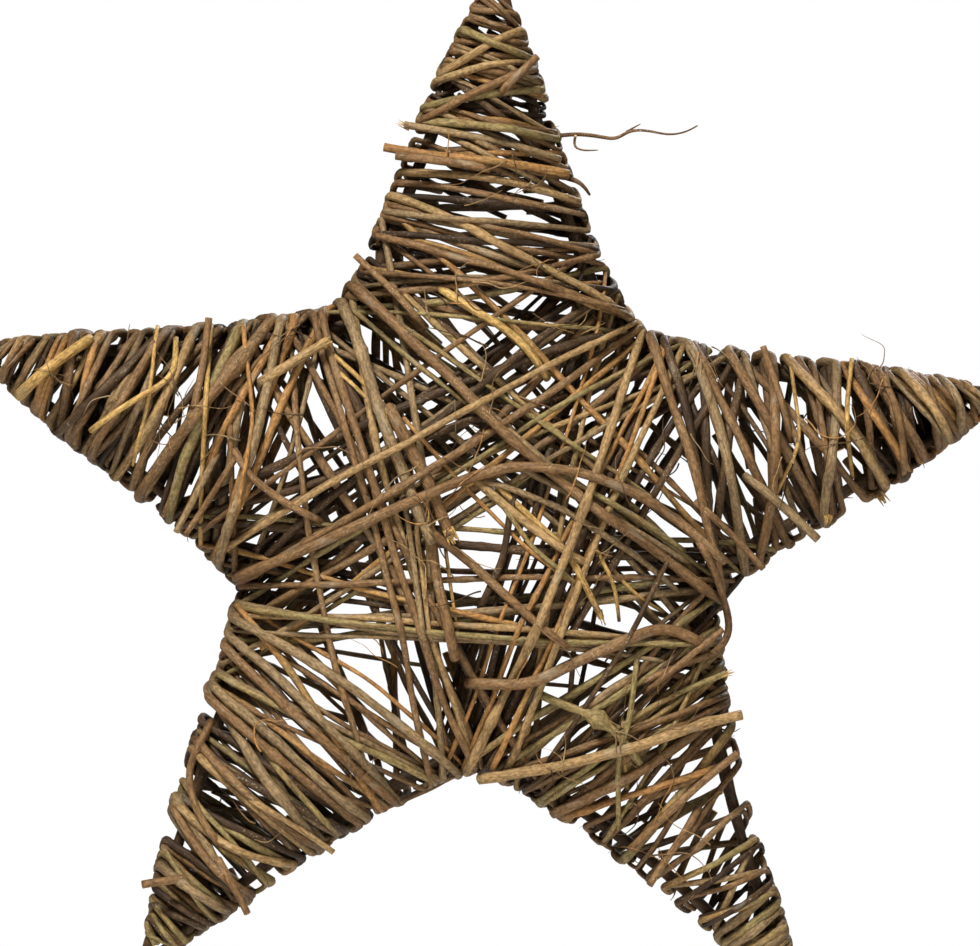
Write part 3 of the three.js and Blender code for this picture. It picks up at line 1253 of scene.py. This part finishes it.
# %% The last strips
loose_strips = [
    # arm or bundle, diameter, tint, cut end, points
    ("left", 3.8, "brown", "none", [(-122, 36), (-115, 23), (-98, 10), (-78, 0)]),
    ("left", 2.4, "straw", "none", [(-134, 97), (-135, 60), (-138, 20), (-139, -11)]),
    ("left", 3.0, "straw", "none", [(-192, 45), (-170, 60), (-150, 71), (-151, 90)]),
    ("left", 2.0, "straw", "none", [(-160, 96), (-163, 60), (-172, 28)]),
    ("left", 2.2, "orange", "none", [(-118, 97), (-112, 50), (-120, 5)]),
    ("left", 5.5, "straw", "none", [(-228, 62), (-212, 76), (-193, 90)]),
    ("left", 4.8, "tan", "last", [(-109, 68), (-97, 76), (-76, 89)]),
    ("body_left", 5.0, "brown", "none", [(-122, -27), (-91, -15), (-41, 8), (-10, 21), (15, 28),
                                         (47, 25), (77, 13), (101, -4), (117, -19)]),
    ("body_right", 5.6, "brown", "none", [(-8, -78), (8, -79), (22, -79), (42, -69), (67, -58),
                                          (84, -51), (96, -53), (108, -60)]),
    ("body_right", 3.6, "brown", "none", [(104, -8), (112, -22), (117, -36), (122, -53), (116, -64),
                                          (96, -69), (76, -78)]),
    ("body_bottom", 4.2, "olive", "none", [(28, -84), (42, -90), (56, -95), (66, -103), (78, -120)]),
    ("lower_right", 5.0, "brown", "none", [(34, -143), (58, -131), (80, -119), (106, -101)]),
    ("lower_right", 4.0, "brown", "last", [(72, -160), (85, -146), (106, -127), (124, -113)]),
    ("lower_right", 3.0, "olive", "first", [(118, -74), (97, -82), (76, -93), (60, -104)]),
    ("lower_right", 2.8, "olive", "none", [(75, -62), (71, -96), (65, -114), (66, -150)]),
    ("lower_left", 3.8, "brown", "none", [(-134, -98), (-146, -122), (-141, -142), (-129, -158)]),
    ("body_bottom", 2.6, "umber", "none", [(92, -14), (73, -52), (53, -84), (30, -119)]),
    ("body_bottom", 5.2, "tan", "last", [(-2, -126), (37, -119), (77, -108), (106, -98), (126, -94)]),
    ("right", 2.4, "straw", "none", [(181, 80), (176, 50), (181, 22)]),
    ("right", 2.0, "straw", "none", [(150, 82), (155, 40), (141, 10)]),
    ("top", 3.6, "grey", "first", [(-39, 195), (-17, 191), (13, 185), (37, 178)]),
    ("top", 4.4, "orange", "first", [(-49, 184), (-22, 179), (8, 176), (41, 171)]),
]

lay_strips(loose_strips)
print("strips on top:", len(loose_strips))

# %% Burls
burls = [
    # group, x, z, swelling, width
    ("left", -118, 76, 0.6, 7),
    ("left", -196, 71, 0.4, 5),
    ("body_bottom", 56, -95, 1.6, 4.5),
    ("body_right", 67, -58, 0.2, 9),
    ("body_bottom", 108, -98, 0.3, 4),
    ("lower_right", 66, -128, 0.4, 6),
]
burled_radius = 1.9
before_the_star = -60

for group, x, z, swelling, width in burls:
    spot = (x, before_the_star, z)
    thick = [vine for vine in vines[group] if vine.radius.mean() > burled_radius]
    nearest = min(thick, key=lambda vine: np.min(np.linalg.norm(vine.points - spot, axis=1)))
    nearest.add_burl(x, z, swelling, width)
print("burls:", len(burls))

# %% [markdown]
# ## Stubs
#
# Here and there a vine was cut off just past the edge of an arm, and its end stands out. One or two
# such stubs on each cane break up the outline.

# %% Stubs over the edges
stub_tints = ("brown", "brown", "tan", "grey")
stub_margin = 25
stub_reach = (8, 13)
stub_length = 45
stub_bend = (0.8, 0.8)


def stub(arm, valley):
    """The last piece of a vine that was cut off where it stands out over the edge of an arm."""
    cane = canes[valley, arm]
    along = draw.uniform(stub_margin, cane.length - stub_margin)
    end = cane.point(along, draw.uniform(*stub_reach))
    inward = -cane.outward + cane.direction * draw.uniform(-0.5, 0.5)
    start = end + inward * min(stub_length, (cane.length - along) * 0.6)
    tint = draw.choice(stub_tints)
    return lay_strip(draw.uniform(2.8, 4.6), tint, "last", [start, (start + end) / 2 + stub_bend, end])


for valley, arm in canes:
    vines[arm] += [stub(arm, valley) for _ in range(draw.choice((1, 1, 2)))]
print("all vines:", sum(len(group) for group in vines.values()))

# %% [markdown]
# ## Tendrils and fibres
#
# The vines were cut in the woods and not cleaned. A dry, branched tendril sticks out beside the top arm.

# %% The tendril and its twigs
tendril = [
    (37, 190), (45, 191), (56, 190), (65.5, 187.7), (70.5, 192.6), (79, 192.6), (91, 190), (99.5, 191.6),
    (105, 195),
]
tendril_branch = [(45, 190), (43, 184), (49, 182), (56, 183)]
tendril_twig = [(70, 192), (74, 194), (77, 196)]
side_twig = [(36, 171), (43, 169), (49, 166), (52, 161)]
tendril_step = 1.5
tendril_sway = 3
tendril_tint = TINTS["umber"] + 0.1


def tendril_vine(points, diameter, depth):
    flat = along_points(points, tendril_step)
    away = depth + tendril_sway * np.sin(np.linspace(0, 7, len(flat)))
    return Vine(in_space(flat, away), diameter, tendril_tint, taper=1.0, knots=False)


fibres = [
    tendril_vine(tendril, diameter=1.5, depth=-6),
    tendril_vine(tendril_branch, diameter=1.0, depth=-6),
    tendril_vine(tendril_twig, diameter=0.8, depth=-3),
    tendril_vine(side_twig, diameter=2.4, depth=-6),
]
print("points in the tendril:", len(fibres[0].points))

# %% [markdown]
# Thin fibres of bark and root curl over the surface and out of its edges, some of them in tufts. Each
# is a short walk that turns a little at every step. A fibre on the surface rests on the pile, and is
# drawn again if it leaves the star's outline.

# %% A fibre of bark or root
fibre_step = 1.2
fibre_tints = ("brown", "tan", "orange", "brown", "umber", "grey")
fibre_taper = 1.2
fibre_tries = 6
fibre_diameters = (0.35, 0.7)


def walk(start, heading, length, curl, unrest):
    """A random walk in the plane of the star."""
    point = np.array(start, float)
    points = [point]
    for _ in range(int(length / fibre_step)):
        heading += curl + draw.gauss(0, unrest)
        point = point + fibre_step * np.array([math.cos(heading), math.sin(heading)])
        points.append(point)
    return smooth(np.array(points), 2)


def fibre(flat, depth, diameter):
    tint = TINTS[draw.choice(fibre_tints)]
    return Vine(in_space(flat, depth), diameter, tint, taper=fibre_taper, knots=False)


def resting_fibre(start, length, diameter, side="front"):
    for _ in range(fibre_tries):
        flat = walk(start, draw.uniform(0, 2 * math.pi), length, draw.uniform(-0.07, 0.07), 0.17)
        if distance_inside(flat).min() > 0:
            break
    heights = settle(piles[side].rest(flat, 1.2)) + np.linspace(-0.6, draw.uniform(0, 4), len(flat))
    return fibre(flat, -heights if side == "front" else heights, diameter)


def edge_fibre():
    valley = draw.choice(list(valleys))
    place = (valley, draw.uniform(6, 140) * draw.choice((-1, 1)))
    cane, along = cane_at(place)
    heading = math.atan2(cane.outward[1], cane.outward[0]) + draw.uniform(-1.2, 1.2)
    flat = walk(cane.point(along, 2), heading, draw.uniform(4, 12), draw.uniform(-0.2, 0.2), 0.25)
    depth = np.linspace(0, draw.uniform(-6, 6), len(flat)) + draw.uniform(-6, 6)
    return fibre(flat, depth, draw.uniform(*fibre_diameters))


# %% [markdown]
# Where a vine was torn and not cut, its end is a brush of pale splinters.

# %% Torn ends
torn_ends = [
    # x, z, heading in degrees, width
    (-77, 88, 32, 4.0), (-16, -6, -64, 5.5), (-47, 54, -50, 2.0), (57, -46, -65, 2.6),
    (-39, 195, 158, 2.4), (118, -74, 14, 2.8), (169, 2, -90, 4.0), (196, 12, -52, 4.0),
]
splinter_lengths = (2.5, 6.0)
splinter_places = np.linspace(-0.4, 0.4, 5)
splinter_fan = 14
splinter_share = 0.24


def splinters(x, z, heading, width):
    """Pale slivers of wood that stand out of a torn end."""
    slivers = []
    for aside in splinter_places:
        turned = math.radians(heading + draw.uniform(-splinter_fan, splinter_fan))
        start = np.array([x, z]) + aside * width * np.array([-math.sin(turned), math.cos(turned)])
        reach = draw.uniform(*splinter_lengths) * np.array([math.cos(turned), math.sin(turned)])
        flat = start - reach * 0.6 + np.linspace(0, 1, 6)[:, None] * reach * 1.4
        heights = np.full(len(flat), piles["front"].rest(flat[:2], 0.6).max() - 0.8)
        line = in_space(flat, -heights)
        slivers.append(Vine(line, width * splinter_share, TINTS["straw"], taper=fibre_taper, knots=False))
    return slivers


# %% All the fibres
edge_fibres = 54
surface_fibres = 80
surface_lengths = (12, 45)
surface_sides = ("front", "front", "back")
surface_shares = (0.05, 0.75)
surface_spread = 12
tuft_lengths = (8, 26)
tuft_diameters = (0.3, 0.6)
tuft_spread = 3
tufts = [
    # x, z, fibres
    (-150, 45, 6), (-146, 63, 5), (-209, 70, 5), (-16, 109, 5), (22, 166, 4), (33, 124, 5), (45, 95, 5),
    (106, 82, 8), (67, -102, 8), (57, -21, 5), (-29, -2, 7), (192, 73, 5), (-93, 95, 5), (84, -84, 5),
    (-2, 48, 6), (-62, -118, 6), (36, -120, 6),
]

fibres += [edge_fibre() for _ in range(edge_fibres)]
for torn_end in torn_ends:
    fibres += splinters(*torn_end)
for _ in range(surface_fibres):
    arm = draw.choice(list(tips))
    share = draw.uniform(*surface_shares)
    aside = np.array([draw.gauss(0, surface_spread), draw.gauss(0, surface_spread)])
    side = draw.choice(surface_sides)
    spot = polar(*tips[arm]) * share + aside
    length = draw.uniform(*surface_lengths)
    fibres.append(resting_fibre(spot, length, draw.uniform(*fibre_diameters), side))
for x, z, count in tufts:
    for _ in range(count):
        spot = (x + draw.gauss(0, tuft_spread), z + draw.gauss(0, tuft_spread))
        fibres.append(resting_fibre(spot, draw.uniform(*tuft_lengths), draw.uniform(*tuft_diameters)))
print("fibres:", len(fibres))

# %% [markdown]
# ## From paths to meshes
#
# A curve with a round bevel sweeps each path into a tube, which is the quickest way in Blender to make
# hundreds of rods that stay round in their bends. As a mesh, its rings follow one another, ten corners
# to a ring.

# %% Sweeping the paths
ring_sides = 10
bevel_resolution = 3


def path_to_spline(curve, vine):
    spline = curve.splines.new("POLY")
    spline.points.add(len(vine.points) - 1)
    place = (vine.points + np.array([star_middle[0], 0.0, star_middle[1]])) * MM
    flat = np.column_stack([place, np.ones(len(place))]).ravel()
    spline.points.foreach_set("co", flat)
    spline.points.foreach_set("radius", vine.radius * MM)


def sweep(name, group):
    """One mesh for a group of vines."""
    curve = bpy.data.curves.new(name, "CURVE")
    curve.dimensions = "3D"
    curve.bevel_depth = 1.0
    curve.bevel_resolution = bevel_resolution
    for vine in group:
        path_to_spline(curve, vine)
    helper = bpy.data.objects.new(name, curve)
    scene.collection.objects.link(helper)
    mesh = bpy.data.meshes.new_from_object(helper.evaluated_get(bpy.context.evaluated_depsgraph_get()))
    bpy.data.objects.remove(helper)
    bpy.data.curves.remove(curve)
    mesh.name = name
    return mesh


# %% [markdown]
# Because the rings follow one another, every corner can be given its place round the vine and along
# it, for the bark's pattern. The corners are then pushed in and out a little, by waves that run round
# the vine and along it, because no vine is truly round.

# %% Bark coordinates and ripples
ripple = 0.045
lanes = 40
lane_width = 1000


def bark_values(group):
    """Bark place and tint of every corner, and how far it is pushed out, ring by ring."""
    places = []
    tints = []
    pushes = []
    turn = np.arange(ring_sides) / ring_sides * 2 * math.pi
    for vine in group:
        along = vine.along[:, None]
        phase = draw.uniform(0, 6)
        radius = vine.radius[:, None]
        push = np.sin(2 * turn + along * 0.09 + phase) + 0.7 * np.sin(3 * turn - along * 0.17 + 2 * phase)
        push += 0.5 * np.sin(5 * turn + along * 0.41 + 3 * phase)
        pushes.append((push * ripple * radius).ravel())
        lane = draw.uniform(0, lanes) * lane_width
        place = np.stack([radius * np.cos(turn), radius * np.sin(turn), along + lane + 0 * turn], axis=-1)
        places.append(place.reshape(-1, 3) * MM)
        tints.append(np.full(len(vine.along) * ring_sides, vine.tint))
    return np.vstack(places), np.concatenate(tints), np.concatenate(pushes)


# %% [markdown]
# ## Painted light outside, painted shade inside
#
# The bark is painted lighter where it lies open to the light, and darker, as painted shade, where it faces
# into the star or lies under other vines. The height maps tell how deep a corner lies under the vines in
# front of it, and its direction from the middle of its vine tells whether it faces out of the star. Both
# together make its second number.

# %% How much painted light and shade each corner gets
buried_depth = 17.0
turn_depth = 9.0
roof_reach = 6
least_buried = 2
half_facing = 0.62
facing_share = 0.5
# painted shade: how much painted light the bark keeps where it lies deep under other vines
buried_painted_light = 0.25


def local_roof(pile):
    """The height of the highest vine within a few millimetres of every cell."""
    roof = pile.top
    shifts = range(-roof_reach, roof_reach + 1)
    for axis in (0, 1):
        roof = np.maximum.reduce([np.roll(roof, shift, axis) for shift in shifts])
    for axis in (0, 1):
        roof = np.mean([np.roll(roof, shift, axis) for shift in shifts], axis=0)
    return roof


roofs = {side: local_roof(pile) for side, pile in piles.items()}


def painted_shading_of(corners, middles):
    """Painted light and shade: 1 where the bark faces out of the star and nothing lies over it, 0 deep
    inside.
    """
    places = middles / MM - (star_middle[0], 0, star_middle[1])
    flat = places[..., [0, 2]]
    cells = cells_of(flat)
    roof_over = {side: roof[cells[..., 0], cells[..., 1]] for side, roof in roofs.items()}
    roof = np.where(places[..., 1] < 0, roof_over["front"], roof_over["back"])
    depth = np.abs(places[..., 1])
    uncovered = 1 - np.clip((roof - depth - least_buried) / buried_depth, 0, 1)
    turned = np.clip(depth / turn_depth, 0, 1)[..., None]
    away = flat / np.maximum(np.linalg.norm(flat, axis=-1, keepdims=True), 1)
    outside = np.stack([away[..., 0], 0 * depth, away[..., 1]], axis=-1) * (1 - turned)
    outside[..., 1] = np.sign(places[..., 1]) * turned[..., 0]
    normal = corners - middles
    normal /= np.linalg.norm(normal, axis=-1, keepdims=True)
    facing = np.clip(half_facing + facing_share * (normal * outside).sum(axis=-1), 0, 1)
    return facing * (buried_painted_light + (1 - buried_painted_light) * uncovered)


print("highest roof:", round(float(roofs["front"].max()), 1), "mm")

# %% [markdown]
# ## Finished pieces
#
# A finished piece has its corners rippled, its three attributes written, and the open end of every
# vine closed by a flat cut of pale wood. It rides on the one body and takes the place
# of the solids that stand for it.

# %% From a group of vines to a piece
def add_values(mesh, name, kind, field, values):
    layer = mesh.attributes.new(name, kind, "POINT")
    layer.data.foreach_set(field, values.ravel())


def dress(mesh, group):
    """Ripples the rings of a swept mesh and gives every corner its bark place, tint and painted shading."""
    places, tints, pushes = bark_values(group)
    corners = np.zeros(len(mesh.vertices) * 3)
    mesh.vertices.foreach_get("co", corners)
    corners = corners.reshape(-1, ring_sides, 3)
    middles = corners.mean(axis=1, keepdims=True)
    outward = corners - middles
    size = np.linalg.norm(outward, axis=2, keepdims=True)
    corners = corners + outward / size * pushes.reshape(-1, ring_sides, 1) * MM
    mesh.vertices.foreach_set("co", corners.ravel())
    add_values(mesh, "bark_place", "FLOAT_VECTOR", "vector", places)
    add_values(mesh, "tint", "FLOAT", "value", tints)
    # painted light and shade, written as an attribute that darkens the bark inside the star
    add_values(mesh, "bleach", "FLOAT", "value", painted_shading_of(corners, middles))


def close_ends(mesh):
    shape = bmesh.new()
    shape.from_mesh(mesh)
    open_edges = [edge for edge in shape.edges if edge.is_boundary]
    ends = bmesh.ops.holes_fill(shape, edges=open_edges, sides=0)
    for face in shape.faces:
        face.smooth = True
    for face in ends["faces"]:
        face.material_index = 1
        face.smooth = False
    shape.to_mesh(mesh)
    shape.free()


def tubes(name, group, node_names):
    """Makes one piece of the star from a group of vines, in place of the solids that stand for it."""
    mesh = sweep(name, group)
    dress(mesh, group)
    close_ends(mesh)
    mesh.materials.append(bark_material)
    mesh.materials.append(cut_material)
    piece = bpy.data.objects.new(name, mesh)
    scene.collection.objects.link(piece)
    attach(piece, "root")
    if node_names:
        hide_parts(*node_names)
    print(name, len(group), "vines,", sum(len(face.vertices) - 2 for face in mesh.polygons), "triangles")


# %% [markdown]
# The pieces follow the solids that they stand for: the inner and the outer vines of each arm, and the
# vines that start from each valley, for a bundle of coils across the body.

# %% Windings and body strands
arm_nodes = {
    "top": "top",
    "left": "left",
    "lower_left": "lowerLeft",
    "lower_right": "lowerRight",
    "right": "right",
}
bundle_nodes = {
    "upper_left": "upper_left_to_right",
    "upper_right": "upper_right_to_bottom",
    "right": "right_to_left",
    "bottom": "bottom_to_upper_left",
    "left": "left_to_upper_right",
}

for arm, node in arm_nodes.items():
    for course, group in (("inner", f"{arm}_inner"), ("outer", arm)):
        names = [f"{node}_arm_{course}_vine_{number}" for number in (1, 2)]
        tubes(f"{arm}_arm_{course}_windings", vines[group], names)
for valley, node in bundle_nodes.items():
    names = [f"body_vine_{node}_{coil}" for coil in (1, 2)]
    tubes(f"body_strands_{valley}", vines[f"body_{valley}"], names)

# %% [markdown]
# The tendrils and fibres stand for no solid. The canes get the same bark, darker, and a slight crook.

# %% Fibres and canes
cane_samples = 60
cane_start = 3
cane_crook = 0.4
cane_taper = 0.3
cane_tint = TINTS["umber"] + 0.08


def cane_rod(cane):
    wobble = sway(np.linspace(0, 1, cane_samples), cane.length, 0.0, cane_crook)
    alongs = np.linspace(cane_start, cane.length, cane_samples)
    flat = np.array([cane.point(along, aside) for along, aside in zip(alongs, wobble)])
    return Vine(in_space(flat, np.zeros(len(flat))), cane_radius * 2, cane_tint, taper=cane_taper)


tubes("tendrils_and_fibres", fibres, [])
cane_names = [f"{node}_arm_{side}_cane" for node in arm_nodes.values() for side in ("left", "right")]
tubes("edge_canes", [cane_rod(cane) for cane in canes.values()], cane_names)
